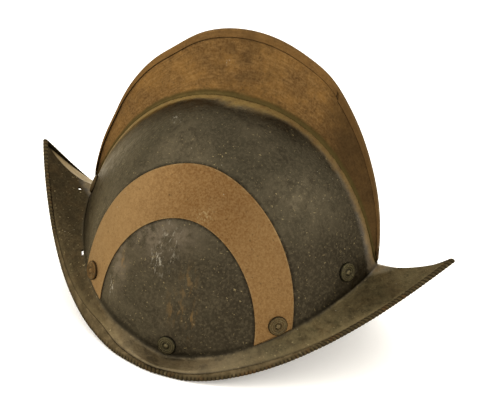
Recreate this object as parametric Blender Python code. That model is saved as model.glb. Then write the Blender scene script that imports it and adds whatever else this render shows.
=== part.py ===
import math

import bmesh
import bpy
from mathutils import Matrix, Vector

# Sheet steel and the clearances between pieces, in metres.
# +X is the front, +Z is up, the floor is at z = 0 and y = 0 is the seam between the two halves.
WALL = 0.0013
GAP = 0.0003

# Bowl: half length where the comb ends, half width, height of its top over the comb's ends and how
# far its foot drops below them at the sides. Lengths that end in _UP are measured from those ends.
# In plan it is (1 - t ** BULGE) ** TAPER, drawn in to a slight edge at the front and the rear.
BOWL_HALF_LENGTH = 0.1225
BOWL_HALF_WIDTH = 0.1065
BOWL_TOP_UP = 0.1072
BOWL_SIDE_DROP = 0.0712
BOWL_ROUNDNESS = 2.26
BOWL_PLAN_BULGE = 2.9
BOWL_PLAN_TAPER = 0.88
JUNCTION_ROUNDNESS = 1.32
JUNCTION_FALL = 0.72
RING_HALVINGS = 40

# Comb: its rim as an arch, its half thickness at the root and the small upright step at each end.
COMB_ARCH_HEIGHT = 0.1648
COMB_ARCH_DROP = 0.0064
COMB_ARCH_ROUNDNESS = 2.03
COMB_ROOT_HALF_WIDTH = 0.0065
COMB_STEP_HEIGHT = 0.0045
COMB_FLARE = 1.6

# Folded hem of the left half, turned over the right half's rim. It stops short of the comb's ends,
# and a notch shows where its depth changes.
HEM_DEPTH_REAR = 0.0052
HEM_DEPTH_FRONT = 0.0072
HEM_STEP_AT_DEG = 126.5
HEM_END_MARGIN_DEG = 4.0
HEM_DEPTH_SHARES = (1.0, 0.4, 0.0)
HEM_ROUNDING = 0.6

# Brim: how far its two peaks and its sides reach beyond the bowl, and the fall to its edge.
# In plan each peak is (1 - t ** BULGE) ** TAPER, with t from 0 at the middle to 1 at the tip.
# SWEEP is how late the edge or the ridge rises towards the tip.
FRONT_PEAK_LENGTH = 0.0588
FRONT_PEAK_UP = 0.0222
FRONT_PEAK_BULGE = 2.0
FRONT_PEAK_TAPER = 1.15
FRONT_PEAK_SWEEP = 2.10
FRONT_RIDGE_SWEEP = 1.70
REAR_PEAK_LENGTH = 0.0498
REAR_PEAK_UP = 0.0281
REAR_PEAK_BULGE = 1.60
REAR_PEAK_TAPER = 0.93
REAR_PEAK_SWEEP = 3.00
REAR_RIDGE_SWEEP = 2.00
BRIM_SIDE_WIDTH = 0.0213
BRIM_SIDE_FALL = 0.0020
BRIM_SLOPE_FACTOR = 1.23
BRIM_FAN = 1.25
FILLET_RADIUS = 0.0035

# Turned edge of the brim, a closed roll under the sheet. Its outline's rows are shares of its width,
# inwards from the edge, and of its height, downwards. The level stretch trims its lowest part.
ROLL_WIDTH = 0.0050
ROLL_HEIGHT = 0.0040
ROLL_TOP_SHARE = 0.7
ROLL_OUTER_OUTLINE = [(0.0, 0.25), (0.0, 0.75), (0.24, 1.0)]
ROLL_INNER_OUTLINE = [(1.0, 0.75), (0.76, 1.0), (0.5, 1.0)]
LEVEL_TRIM = 0.0012

# Embossed crescent on each side, between two arches: half length as a share of the bowl's, height
# and centre over the widest level as shares of the bowl's height. It stands proud by the relief.
CRESCENT_ARCHES = {
    "outer": {"half_length": 0.702, "height": 0.625, "centre": 0.183},
    "inner": {"half_length": 0.520, "height": 0.4675, "centre": 0.132},
}
CRESCENT_RELIEF = 0.0008
CRESCENT_ROOT_SHARE = 0.65
CRESCENT_SIDES = 22

# Rosettes that carry the lining rivets: name, place as a share of the bowl's half length, and the
# clearance from the rosette's edge to the junction.
ROSETTES = [
    ("rear_end", -0.930, 0.0077),
    ("rear", -0.626, 0.0014),
    ("side", 0.0, 0.0024),
    ("front", 0.626, 0.0014),
    ("front_end", 0.887, 0.0077),
]
ROSETTE_RADIUS = 0.0075
ROSETTE_RING_HEIGHT = 0.0012
ROSETTE_BASE = 0.0008
ROSETTE_RING_SHARE = 0.70
ROSETTE_GROOVE_SHARE = 0.40
ROSETTE_HEAD_SHARE = 0.22
RIVET_RADIUS = 0.0015
RIVET_HEAD_HEIGHT = 0.0016
RIVET_TAIL_RADIUS = 0.0024
RIVET_TAIL_HEIGHT = 0.0012
RIVET_TAIL_GAP = 0.0008
ROSETTE_SIDES = 12
DRILL_SIDES = 8
DRILL_DEPTH = 0.0080

# Wear on the right side: a small hole in the rear peak and a slit at the foot of the bowl. Each
# lies on one station of the brim, at a share of the way from the junction to the edge.
PEAK_HOLE_STATION_DEG = 9.5
PEAK_HOLE_SHARE = 0.22
PEAK_HOLE_RADIUS = 0.0014
SLIT_STATION_DEG = 39.0
SLIT_SHARE = 0.06
SLIT_LENGTH = 0.0050
SLIT_WIDTH = 0.0012
CUT_DEPTH = 0.0120

# Mesh divisions.
STATIONS = 40
COMB_ROWS = 4
BOWL_ROWS = 9
FILLET_ROWS = 2
BRIM_ROWS = 3
SMOOTH_ANGLE = math.radians(35)
SMALL_ANGLE = 0.001

SEAM_Y = -GAP / 2
BOWL_HEIGHT = BOWL_TOP_UP + BOWL_SIDE_DROP
BRIM_HALF_WIDTH = BOWL_HALF_WIDTH + BRIM_SIDE_WIDTH
BRIM_SIDE_UP = -BOWL_SIDE_DROP - BRIM_SIDE_FALL
BRIM_LEVEL_UP = BRIM_SIDE_UP + LEVEL_TRIM

# The comb's two ends lie level on either side of this point, and every piece is worked out from it.
COMB_CENTRE = Vector(((REAR_PEAK_LENGTH - FRONT_PEAK_LENGTH) / 2, 0, ROLL_HEIGHT - BRIM_LEVEL_UP))


def clear_scene():
    for item in list(bpy.data.objects):
        bpy.data.objects.remove(item, do_unlink=True)


def signed_power(value, power):
    return math.copysign(abs(value) ** power, value)


def clamp_unit(value):
    return max(-1.0, min(1.0, value))


def lerp(start, end, share):
    return start + (end - start) * share


# The bowl is a superellipsoid. Its latitude is 0 at the widest level and its longitude is 0 at
# the rear end and pi at the front. An inset moves it inwards, for the inner face of the sheet.
def bowl_half_length_at_equator():
    ring = (1 - (BOWL_SIDE_DROP / BOWL_HEIGHT) ** BOWL_ROUNDNESS) ** (1 / BOWL_ROUNDNESS)
    return BOWL_HALF_LENGTH / ring


def bowl_point(latitude, longitude, inset):
    ring = math.cos(latitude) ** (2 / BOWL_ROUNDNESS)
    along = signed_power(math.cos(longitude), 2 / BOWL_PLAN_BULGE)
    across = abs(math.sin(longitude)) ** (2 * BOWL_PLAN_TAPER)
    rise = abs(math.sin(latitude)) ** (2 / BOWL_ROUNDNESS)
    return Vector((
        -(bowl_half_length_at_equator() - inset) * ring * along,
        -(BOWL_HALF_WIDTH - inset) * ring * across,
        (BOWL_HEIGHT - inset) * rise - BOWL_SIDE_DROP,
    ))


def bowl_longitude(x, ring, inset):
    along = clamp_unit(-x / ((bowl_half_length_at_equator() - inset) * ring))
    return math.acos(signed_power(along, BOWL_PLAN_BULGE / 2))


def bowl_angles_at_height(x, up, inset):
    share = max(0.0, up + BOWL_SIDE_DROP) / (BOWL_HEIGHT - inset)
    latitude = math.asin(min(1.0, share ** (BOWL_ROUNDNESS / 2)))
    ring = math.cos(latitude) ** (2 / BOWL_ROUNDNESS)
    return latitude, bowl_longitude(x, ring, inset)


def bowl_angles_over_plan(x, y, inset):
    along = abs(x) / (bowl_half_length_at_equator() - inset)
    across = abs(y) / (BOWL_HALF_WIDTH - inset)
    low, high = max(along, across), 1.0
    for _ in range(RING_HALVINGS):
        ring = (low + high) / 2
        if (along / ring) ** BOWL_PLAN_BULGE + (across / ring) ** (1 / BOWL_PLAN_TAPER) > 1:
            low = ring
        else:
            high = ring
    latitude = math.acos(min(1.0, ring ** (BOWL_ROUNDNESS / 2)))
    return latitude, bowl_longitude(x, ring, inset)


def bowl_normal(latitude, longitude):
    point = bowl_point(latitude, longitude, 0)
    along = bowl_point(latitude, longitude + SMALL_ANGLE, 0) - point
    upward = bowl_point(latitude + SMALL_ANGLE, longitude, 0) - point
    return along.cross(upward).normalized()


def junction_up(x):
    share = min(1.0, abs(x) / BOWL_HALF_LENGTH)
    return -BOWL_SIDE_DROP * (1 - share ** JUNCTION_ROUNDNESS) ** JUNCTION_FALL


# Comb. A station runs from 0 at the rear end to pi at the front end.
def comb_rim(station):
    start_sine = (COMB_STEP_HEIGHT + COMB_ARCH_DROP) / COMB_ARCH_HEIGHT
    start = math.asin(start_sine ** (COMB_ARCH_ROUNDNESS / 2))
    turn = lerp(start, math.pi - start, station / math.pi)
    x = -BOWL_HALF_LENGTH * signed_power(math.cos(turn), 2 / COMB_ARCH_ROUNDNESS)
    up = COMB_ARCH_HEIGHT * math.sin(turn) ** (2 / COMB_ARCH_ROUNDNESS) - COMB_ARCH_DROP
    return Vector((x, 0, up))


def comb_half_width(station, depth_share):
    rim = GAP / 2 + WALL
    root = lerp(rim, COMB_ROOT_HALF_WIDTH, math.sqrt(math.sin(station)))
    return lerp(rim, root, depth_share ** COMB_FLARE)


def comb_root_angles(station, inset):
    y = -max(comb_half_width(station, 1) - inset, GAP / 2)
    latitude, _ = bowl_angles_at_height(-BOWL_HALF_LENGTH, COMB_STEP_HEIGHT / 2, inset)
    reach = abs(bowl_point(latitude, 0, inset).x)
    across = abs(y) / ((BOWL_HALF_WIDTH - inset) * math.cos(latitude) ** (2 / BOWL_ROUNDNESS))
    reach *= (1 - across ** (1 / BOWL_PLAN_TAPER)) ** (1 / BOWL_PLAN_BULGE)
    return bowl_angles_over_plan(-reach * math.cos(station), y, inset)


# Brim. The junction is the corner that the fillet rounds.
def junction_point(station, inset):
    x = -(BOWL_HALF_LENGTH - inset) * math.cos(station)
    up = junction_up(x * BOWL_HALF_LENGTH / (BOWL_HALF_LENGTH - inset))
    latitude, longitude = bowl_angles_at_height(x, up, inset)
    point = bowl_point(latitude, longitude, inset)
    return Vector((x, point.y, up - inset * BRIM_SLOPE_FACTOR))


def is_front(station):
    return station > math.pi / 2


def brim_edge(station):
    share = abs(math.cos(station)) ** BRIM_FAN
    if is_front(station):
        across = (1 - share ** FRONT_PEAK_BULGE) ** FRONT_PEAK_TAPER
        x = (BOWL_HALF_LENGTH + FRONT_PEAK_LENGTH) * share
        up = lerp(BRIM_SIDE_UP, FRONT_PEAK_UP, share ** FRONT_PEAK_SWEEP)
    else:
        across = (1 - share ** REAR_PEAK_BULGE) ** REAR_PEAK_TAPER
        x = -(BOWL_HALF_LENGTH + REAR_PEAK_LENGTH) * share
        up = lerp(BRIM_SIDE_UP, REAR_PEAK_UP, share ** REAR_PEAK_SWEEP)
    return Vector((x, -BRIM_HALF_WIDTH * across, max(up, BRIM_LEVEL_UP)))


def brim_outward(station):
    outward = brim_edge(station) - junction_point(station, 0)
    outward.z = 0
    return outward.normalized()


def brim_point(station, share, drop):
    start = junction_point(station, 0)
    end = brim_edge(station)
    ridge_sweep = FRONT_RIDGE_SWEEP if is_front(station) else REAR_RIDGE_SWEEP
    sweep = lerp(1.0, ridge_sweep, abs(math.cos(station)))
    up = lerp(start.z, end.z, share ** sweep) - drop
    return Vector((lerp(start.x, end.x, share), lerp(start.y, end.y, share), up))


def brim_share(station, distance):
    span = brim_edge(station) - junction_point(station, 0)
    span.z = 0
    return distance / span.length


# Rows of one station, from the comb's rim to the edge of the brim, on one face of the sheet.
def comb_rows(station, inset):
    rim = comb_rim(station)
    latitude, longitude = comb_root_angles(station, inset)
    root = bowl_point(latitude, longitude, inset)
    rows = []
    for row in range(COMB_ROWS):
        share = row / COMB_ROWS
        y = -(comb_half_width(station, share) - inset)
        rows.append(Vector((lerp(rim.x, root.x, share), y, lerp(rim.z, root.z, share))))
    return rows


def bowl_rows(station, inset):
    top = comb_root_angles(station, inset)
    corner = junction_point(station, inset)
    foot_up = junction_up(corner.x) + fillet_rise(station)
    foot = bowl_angles_at_height(corner.x, foot_up, inset)
    rows = []
    for row in range(BOWL_ROWS + 1):
        share = row / BOWL_ROWS
        rows.append(bowl_point(lerp(top[0], foot[0], share), lerp(top[1], foot[1], share), inset))
    return rows


def fillet_rise(station):
    return lerp(COMB_STEP_HEIGHT / 4, FILLET_RADIUS, math.sin(station))


def fillet_rows(station, inset, start, end):
    corner = junction_point(station, inset)
    rows = []
    for row in range(1, FILLET_ROWS):
        share = row / FILLET_ROWS
        rows.append(start.lerp(corner, share).lerp(corner.lerp(end, share), share))
    return rows


def brim_rows(station, inset):
    start = brim_share(station, fillet_rise(station))
    stop = 1 - brim_share(station, ROLL_WIDTH * (1.0 if inset else ROLL_TOP_SHARE))
    shares = [lerp(start, stop, row / BRIM_ROWS) for row in range(BRIM_ROWS + 1)]
    return [brim_point(station, share, inset * BRIM_SLOPE_FACTOR) for share in shares]


def roll_rows(station, inset):
    outline = ROLL_INNER_OUTLINE if inset else ROLL_OUTER_OUTLINE
    edge = brim_edge(station)
    outward = brim_outward(station)
    return [
        edge - outward * (ROLL_WIDTH * inward) - Vector((0, 0, ROLL_HEIGHT * down))
        for inward, down in outline
    ]


def face_rows(station, inset):
    bowl = bowl_rows(station, inset)
    brim = brim_rows(station, inset)
    rows = comb_rows(station, inset) + bowl + fillet_rows(station, inset, bowl[-1], brim[0])
    rows += brim + roll_rows(station, inset)
    return [Vector((point.x, min(point.y, SEAM_Y), point.z)) for point in rows]


# Hem rows run from the hem's lower edge, beyond the seam, over the rim. They come before the rim.
def hem_rows(station, inset):
    rim = comb_rim(station)
    inward = bowl_point(*comb_root_angles(station, 0), 0) - rim
    inward.y = 0
    span = inward.length
    inward.normalize()
    depth = HEM_DEPTH_FRONT if math.degrees(station) > HEM_STEP_AT_DEG else HEM_DEPTH_REAR
    skin = 0.0 if inset else WALL
    rows = []
    for share in HEM_DEPTH_SHARES:
        y = comb_half_width(station, share * depth / span) + GAP + skin
        rows.append(rim + inward * (depth * share) + Vector((0, y, 0)))
    crown = GAP + skin
    shoulder = rim - inward * (crown * HEM_ROUNDING)
    rows.append(shoulder + Vector((0, GAP / 2 + (WALL + crown) * HEM_ROUNDING, 0)))
    rows.append(rim - inward * crown + Vector((0, GAP / 2, 0)))
    rows.append(shoulder - Vector((0, GAP / 2 + skin * HEM_ROUNDING, 0)))
    return rows


def station_angles():
    return [math.pi * index / STATIONS for index in range(STATIONS + 1)]


def grid_faces(verts, columns, rows, skip):
    faces = []
    for column in range(columns - 1):
        for row in range(rows - 1):
            if not skip(column, row):
                first = column * rows + row
                faces.append([verts[first], verts[first + 1], verts[first + rows + 1], verts[first + rows]])
    return faces


# A closed sheet from its outer and inner faces, which have the same stations and rows.
def sheet_mesh(outer, inner, skip):
    mesh = bmesh.new()
    rows = len(outer[0])
    outer_verts = [mesh.verts.new(point) for station in outer for point in station]
    inner_verts = [mesh.verts.new(point) for station in inner for point in station]
    partner = dict(zip(outer_verts, inner_verts))
    outer_faces = [mesh.faces.new(face) for face in grid_faces(outer_verts, len(outer), rows, skip)]
    for face in grid_faces(inner_verts, len(inner), rows, skip):
        mesh.faces.new(reversed(face))
    for edge in {edge for face in outer_faces for edge in face.edges if len(edge.link_faces) == 1}:
        loop = edge.link_loops[0]
        start, end = loop.vert, loop.link_loop_next.vert
        mesh.faces.new([end, start, partner[start], partner[end]])
    loose = [vert for vert in mesh.verts if not vert.link_faces]
    bmesh.ops.delete(mesh, geom=loose, context="VERTS")
    bmesh.ops.remove_doubles(mesh, verts=mesh.verts, dist=GAP / 10)
    bmesh.ops.recalc_face_normals(mesh, faces=mesh.faces)
    return mesh


def half_mesh(with_hem):
    outer = []
    inner = []
    for station in station_angles():
        lead_outer = hem_rows(station, 0) if with_hem else []
        lead_inner = hem_rows(station, WALL) if with_hem else []
        outer.append(lead_outer + face_rows(station, 0))
        inner.append(lead_inner + face_rows(station, WALL))
    hem_count = len(hem_rows(math.pi / 2, 0)) if with_hem else 0
    margin = HEM_END_MARGIN_DEG * STATIONS / 180
    notch = int(HEM_STEP_AT_DEG * STATIONS / 180)

    def skip(column, row):
        beyond = column < margin or column > STATIONS - 1 - margin
        return row < hem_count and (beyond or (column == notch and row < 2))

    return sheet_mesh(outer, inner, skip)


def mirror_to_left(mesh):
    bmesh.ops.scale(mesh, vec=(1, -1, 1), verts=mesh.verts)
    bmesh.ops.reverse_faces(mesh, faces=mesh.faces)


# Flat outline of the crescent in side view: two arches with straight legs down past the junction.
def crescent_arch(name):
    arch = CRESCENT_ARCHES[name]
    half_length = arch["half_length"] * BOWL_HALF_LENGTH
    centre = arch["centre"] * BOWL_HEIGHT - BOWL_SIDE_DROP
    legs = -BOWL_SIDE_DROP - FILLET_RADIUS
    points = [(-half_length, legs)]
    for index in range(CRESCENT_SIDES + 1):
        turn = math.pi * index / CRESCENT_SIDES
        up = centre + arch["height"] * BOWL_HEIGHT * math.sin(turn)
        points.append((-half_length * math.cos(turn), up))
    return points + [(half_length, legs)]


def crescent_prism():
    mesh = bmesh.new()
    outline = crescent_arch("outer") + crescent_arch("inner")[::-1]
    verts = [mesh.verts.new((x, -BRIM_HALF_WIDTH, up)) for x, up in outline]
    face = mesh.faces.new(verts)
    pushed = bmesh.ops.extrude_face_region(mesh, geom=[face])["geom"]
    moved = [item for item in pushed if isinstance(item, bmesh.types.BMVert)]
    depth = BRIM_HALF_WIDTH - COMB_ROOT_HALF_WIDTH * 2
    bmesh.ops.translate(mesh, vec=(0, depth, 0), verts=moved)
    bmesh.ops.recalc_face_normals(mesh, faces=mesh.faces)
    return mesh


# Patch of the bowl's skin, raised by the relief and rooted well inside the wall.
def crescent_skin():
    outer = []
    inner = []
    for station in station_angles()[1:-1]:
        outer.append(bowl_rows(station, -CRESCENT_RELIEF))
        inner.append(bowl_rows(station, WALL * CRESCENT_ROOT_SHARE))
    return sheet_mesh(outer, inner, lambda column, row: False)


def add_object(name, mesh, material):
    data = bpy.data.meshes.new(name)
    mesh.to_mesh(data)
    mesh.free()
    data.shade_smooth()
    data.set_sharp_from_angle(angle=SMOOTH_ANGLE)
    item = bpy.data.objects.new(name, data)
    item.location = COMB_CENTRE
    bpy.context.scene.collection.objects.link(item)
    if material:
        data.materials.append(material)
    return item


def add_guide(name, mesh):
    guide = add_object(name, mesh, None)
    guide.hide_render = True
    guide.display_type = "WIRE"
    return guide


def add_boolean(target, cutter, operation):
    modifier = target.modifiers.new(cutter.name, "BOOLEAN")
    modifier.operation = operation
    modifier.solver = "EXACT"
    modifier.object = cutter


def steel(name, color, roughness, metallic):
    material = bpy.data.materials.new(name)
    material.use_nodes = True
    shader = material.node_tree.nodes["Principled BSDF"]
    shader.inputs["Base Color"].default_value = (*color, 1)
    shader.inputs["Roughness"].default_value = roughness
    shader.inputs["Metallic"].default_value = metallic
    return material


# Rosette: a ringed washer with its rivet's head, shank and clenched tail, turned about +Z.
def rosette_profile(seat):
    base = GAP
    top = base + ROSETTE_BASE
    tail_top = -WALL - seat - RIVET_TAIL_GAP
    return [
        (0.0, tail_top - RIVET_TAIL_HEIGHT),
        (RIVET_TAIL_RADIUS, tail_top - RIVET_TAIL_HEIGHT / 2),
        (RIVET_TAIL_RADIUS, tail_top),
        (RIVET_RADIUS, tail_top),
        (RIVET_RADIUS, base),
        (ROSETTE_RADIUS, base),
        (ROSETTE_RADIUS, top),
        (ROSETTE_RADIUS * ROSETTE_RING_SHARE, top + ROSETTE_RING_HEIGHT),
        (ROSETTE_RADIUS * ROSETTE_GROOVE_SHARE, top),
        (ROSETTE_RADIUS * ROSETTE_HEAD_SHARE, top + RIVET_HEAD_HEIGHT),
        (0.0, top + RIVET_HEAD_HEIGHT),
    ]


def turned_mesh(profile, sides):
    mesh = bmesh.new()
    verts = [mesh.verts.new((radius, 0, height)) for radius, height in profile]
    edges = [mesh.edges.new(pair) for pair in zip(verts, verts[1:])]
    bmesh.ops.spin(
        mesh, geom=verts + edges, axis=(0, 0, 1), cent=(0, 0, 0),
        steps=sides, angle=math.tau, use_merge=True,
    )
    bmesh.ops.remove_doubles(mesh, verts=mesh.verts, dist=GAP / 10)
    bmesh.ops.recalc_face_normals(mesh, faces=mesh.faces)
    return mesh


def rosette_seat(share):
    inner = CRESCENT_ARCHES["inner"]["half_length"]
    outer = CRESCENT_ARCHES["outer"]["half_length"]
    return CRESCENT_RELIEF if inner < abs(share) < outer else 0.0


def rosette_frame(share, clearance):
    x = share * BOWL_HALF_LENGTH
    steepness = (junction_up(x + SMALL_ANGLE) - junction_up(x)) / SMALL_ANGLE
    up = junction_up(x) + (ROSETTE_RADIUS + clearance) * math.hypot(1, steepness)
    latitude, longitude = bowl_angles_at_height(x, up, 0)
    normal = bowl_normal(latitude, longitude)
    place = bowl_point(latitude, longitude, 0) + normal * rosette_seat(share)
    return Matrix.Translation(place) @ normal.to_track_quat("Z", "X").to_matrix().to_4x4()


def drilled_cutters():
    mesh = bmesh.new()
    for name, share, clearance in ROSETTES:
        bmesh.ops.create_cone(
            mesh, cap_ends=True, segments=DRILL_SIDES, radius1=RIVET_RADIUS + GAP,
            radius2=RIVET_RADIUS + GAP, depth=DRILL_DEPTH, matrix=rosette_frame(share, clearance),
        )
    return mesh


def wear_cutters():
    mesh = bmesh.new()
    hole = brim_point(math.radians(PEAK_HOLE_STATION_DEG), PEAK_HOLE_SHARE, 0)
    bmesh.ops.create_cone(
        mesh, cap_ends=True, segments=DRILL_SIDES, radius1=PEAK_HOLE_RADIUS,
        radius2=PEAK_HOLE_RADIUS, depth=CUT_DEPTH, matrix=Matrix.Translation(hole),
    )
    station = math.radians(SLIT_STATION_DEG)
    along = junction_point(station + SMALL_ANGLE, 0) - junction_point(station, 0)
    turn = Matrix.Rotation(math.atan2(along.y, along.x), 4, "Z")
    size = Matrix.Diagonal((SLIT_LENGTH, SLIT_WIDTH, CUT_DEPTH, 1))
    slit = Matrix.Translation(brim_point(station, SLIT_SHARE, 0))
    bmesh.ops.create_cube(mesh, size=1, matrix=slit @ turn @ size)
    return mesh


def build_half(side, with_hem, material, cuts):
    shell = half_mesh(with_hem)
    guides = [
        ("crescent_skin", crescent_skin(), None),
        ("crescent_prism", crescent_prism(), None),
        ("rivet_drills", drilled_cutters(), "DIFFERENCE"),
    ]
    guides += [(name, mesh, "DIFFERENCE") for name, mesh in cuts]
    if side == "left":
        for mesh in [shell] + [mesh for name, mesh, operation in guides]:
            mirror_to_left(mesh)
    half = add_object(f"half_shell_{side}", shell, material)
    made = {name: add_guide(f"{name}_{side}", mesh) for name, mesh, operation in guides}
    add_boolean(made["crescent_skin"], made["crescent_prism"], "INTERSECT")
    add_boolean(half, made["crescent_skin"], "UNION")
    for name, mesh, operation in guides:
        if operation:
            add_boolean(half, made[name], operation)


def build_halves():
    black = steel("blackened_steel", (0.060, 0.055, 0.045), 0.45, 0.6)
    build_half("right", False, black, [("wear_cuts", wear_cutters())])
    build_half("left", True, black, [])


def build_rosettes():
    brass = steel("dark_brass", (0.12, 0.10, 0.06), 0.5, 0.7)
    for name, share, clearance in ROSETTES:
        for side in ("right", "left"):
            mesh = turned_mesh(rosette_profile(rosette_seat(share)), ROSETTE_SIDES)
            bmesh.ops.transform(mesh, matrix=rosette_frame(share, clearance), verts=mesh.verts)
            if side == "left":
                mirror_to_left(mesh)
            add_object(f"rosette_{name}_{side}", mesh, brass)


clear_scene()
build_halves()
build_rosettes()
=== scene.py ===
import functools
import math

import bmesh
import bpy
from mathutils import Matrix, Vector, noise


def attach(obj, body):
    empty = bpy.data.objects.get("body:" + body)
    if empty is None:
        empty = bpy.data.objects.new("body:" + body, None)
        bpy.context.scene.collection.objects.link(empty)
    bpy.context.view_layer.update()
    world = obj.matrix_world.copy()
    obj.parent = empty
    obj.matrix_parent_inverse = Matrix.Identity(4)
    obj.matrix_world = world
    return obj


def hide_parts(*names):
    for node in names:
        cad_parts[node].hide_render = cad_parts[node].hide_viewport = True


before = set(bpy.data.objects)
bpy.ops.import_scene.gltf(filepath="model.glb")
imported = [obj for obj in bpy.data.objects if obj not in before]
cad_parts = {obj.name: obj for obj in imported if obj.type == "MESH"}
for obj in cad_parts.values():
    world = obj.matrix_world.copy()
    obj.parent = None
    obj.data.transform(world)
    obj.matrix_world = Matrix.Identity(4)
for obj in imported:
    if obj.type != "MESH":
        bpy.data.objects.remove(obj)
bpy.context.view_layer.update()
print("frame loaded")

# Metres throughout. +X is the front peak, +Z up, and y = 0 is the seam between the two half sheets.
# The right half is worked out at y < 0, and the left half is its mirror image.
# Heights are measured from the comb's two ends, which lie level with combCentre.
sheet = {"wall": 0.0013, "gap": 0.0003, "seam": -0.00015}
combCentre = Vector((-0.0045, 0, 0.0760))


def lerp(start, end, share):
    return start + (end - start) * share


def smoothStep(low, high, value):
    share = max(0.0, min(1.0, (value - low) / (high - low)))
    return share * share * (3 - 2 * share)


def signedPower(value, power):
    return math.copysign(abs(value) ** power, value)


# ---- form of the helmet, the same as the solids'

bowl = {
    "halfLength": 0.1225, "halfWidth": 0.1065, "topUp": 0.1072, "sideDrop": 0.0712,
    "roundness": 2.26, "planBulge": 2.9, "planTaper": 0.88, "footRoundness": 1.32, "footFall": 0.72,
    "dent": 0.00022, "dentSize": 0.032,          # hammer marks left by raising the bowl
}
bowl["height"] = bowl["topUp"] + bowl["sideDrop"]
bowl["footRing"] = (1 - (bowl["sideDrop"] / bowl["height"]) ** bowl["roundness"]) ** (1 / bowl["roundness"])
bowl["equatorLength"] = bowl["halfLength"] / bowl["footRing"]


def bowlPoint(latitude, longitude, inset):
    ring = math.cos(latitude) ** (2 / bowl["roundness"])
    along = signedPower(math.cos(longitude), 2 / bowl["planBulge"])
    across = abs(math.sin(longitude)) ** (2 * bowl["planTaper"])
    rise = abs(math.sin(latitude)) ** (2 / bowl["roundness"])
    return Vector((
        -(bowl["equatorLength"] - inset) * ring * along,
        -(bowl["halfWidth"] - inset) * ring * across,
        (bowl["height"] - inset) * rise - bowl["sideDrop"],
    ))


def bowlLongitude(x, ring, inset):
    along = max(-1.0, min(1.0, -x / ((bowl["equatorLength"] - inset) * ring)))
    return math.acos(signedPower(along, bowl["planBulge"] / 2))


def bowlAnglesAtHeight(x, up, inset):
    share = max(0.0, up + bowl["sideDrop"]) / (bowl["height"] - inset)
    latitude = math.asin(min(1.0, share ** (bowl["roundness"] / 2)))
    return latitude, bowlLongitude(x, math.cos(latitude) ** (2 / bowl["roundness"]), inset)


# The ring is how far out a point lies between the crown, 0, and the widest level, 1.
def bowlRing(x, y, inset):
    along = abs(x) / (bowl["equatorLength"] - inset)
    across = abs(y) / (bowl["halfWidth"] - inset)
    low, high = max(along, across), 1.0
    for _ in range(40):
        ring = (low + high) / 2
        if (along / ring) ** bowl["planBulge"] + (across / ring) ** (1 / bowl["planTaper"]) > 1:
            low = ring
        else:
            high = ring
    return ring


def bowlAnglesOverPlan(x, y, inset):
    ring = bowlRing(x, y, inset)
    latitude = math.acos(min(1.0, ring ** (bowl["roundness"] / 2)))
    return latitude, bowlLongitude(x, ring, inset)


def bowlNormal(point):
    bulge, sharp, rounding = bowl["planBulge"], 1 / bowl["planTaper"], bowl["roundness"]
    rise = max(0.0, point.z + bowl["sideDrop"]) / bowl["height"]
    ring = max(1e-6, 1 - min(1.0, rise) ** rounding) ** (1 / rounding)
    along = abs(point.x) / (bowl["equatorLength"] * ring)
    across = abs(point.y) / (bowl["halfWidth"] * ring)
    spread = ring ** (rounding - 1) / (bulge * along ** bulge + sharp * across ** sharp)
    return Vector((
        math.copysign(spread * bulge * along ** (bulge - 1) / bowl["equatorLength"], point.x),
        math.copysign(spread * sharp * across ** (sharp - 1) / bowl["halfWidth"], point.y),
        rise ** (rounding - 1) / bowl["height"],
    )).normalized()


def junctionUp(x):
    share = min(1.0, abs(x) / bowl["halfLength"])
    return -bowl["sideDrop"] * (1 - share ** bowl["footRoundness"]) ** bowl["footFall"]


def hammered(point, size):
    return noise.noise(point / size) + 0.4 * noise.noise(point * 2.7 / size)


def bowlDent(point):
    fade = smoothStep(0.004, 0.014, point.z - junctionUp(point.x)) * smoothStep(0.009, 0.022, -point.y)
    return bowlNormal(point) * (bowl["dent"] * hammered(point, bowl["dentSize"]) * fade)


comb = {
    "height": 0.1648, "drop": 0.0064, "roundness": 2.03, "rootHalfWidth": 0.0065,
    "endStep": 0.0045, "flare": 1.6, "dent": 0.00025,
    # knocks in the rim: station in degrees, reach in degrees, outward shift
    "knocks": [(23, 7, -0.0012), (57, 9, -0.0020), (122, 9, 0.0017), (150, 12, -0.0007)],
}


def combRim(station):
    startSine = (comb["endStep"] + comb["drop"]) / comb["height"]
    start = math.asin(startSine ** (comb["roundness"] / 2))
    turn = lerp(start, math.pi - start, station / math.pi)
    x = -bowl["halfLength"] * signedPower(math.cos(turn), 2 / comb["roundness"])
    rim = Vector((x, 0, comb["height"] * math.sin(turn) ** (2 / comb["roundness"]) - comb["drop"]))
    for atDeg, reachDeg, shift in comb["knocks"]:
        away = (math.degrees(station) - atDeg) / reachDeg
        rim += rim.normalized() * (shift * math.exp(-away * away))
    return rim


def combHalfWidth(station, depthShare):
    rim = sheet["gap"] / 2 + sheet["wall"]
    root = lerp(rim, comb["rootHalfWidth"], math.sqrt(max(0.0, math.sin(station))))
    return lerp(rim, root, depthShare ** comb["flare"])


def combRootAngles(station, inset):
    y = max(combHalfWidth(station, 1) - inset, sheet["gap"] / 2)
    latitude, _ = bowlAnglesAtHeight(-bowl["halfLength"], comb["endStep"] / 2, inset)
    reach = abs(bowlPoint(latitude, 0, inset).x)
    across = y / ((bowl["halfWidth"] - inset) * math.cos(latitude) ** (2 / bowl["roundness"]))
    reach *= (1 - across ** (1 / bowl["planTaper"])) ** (1 / bowl["planBulge"])
    return bowlAnglesOverPlan(-reach * math.cos(station), y, inset)


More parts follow.
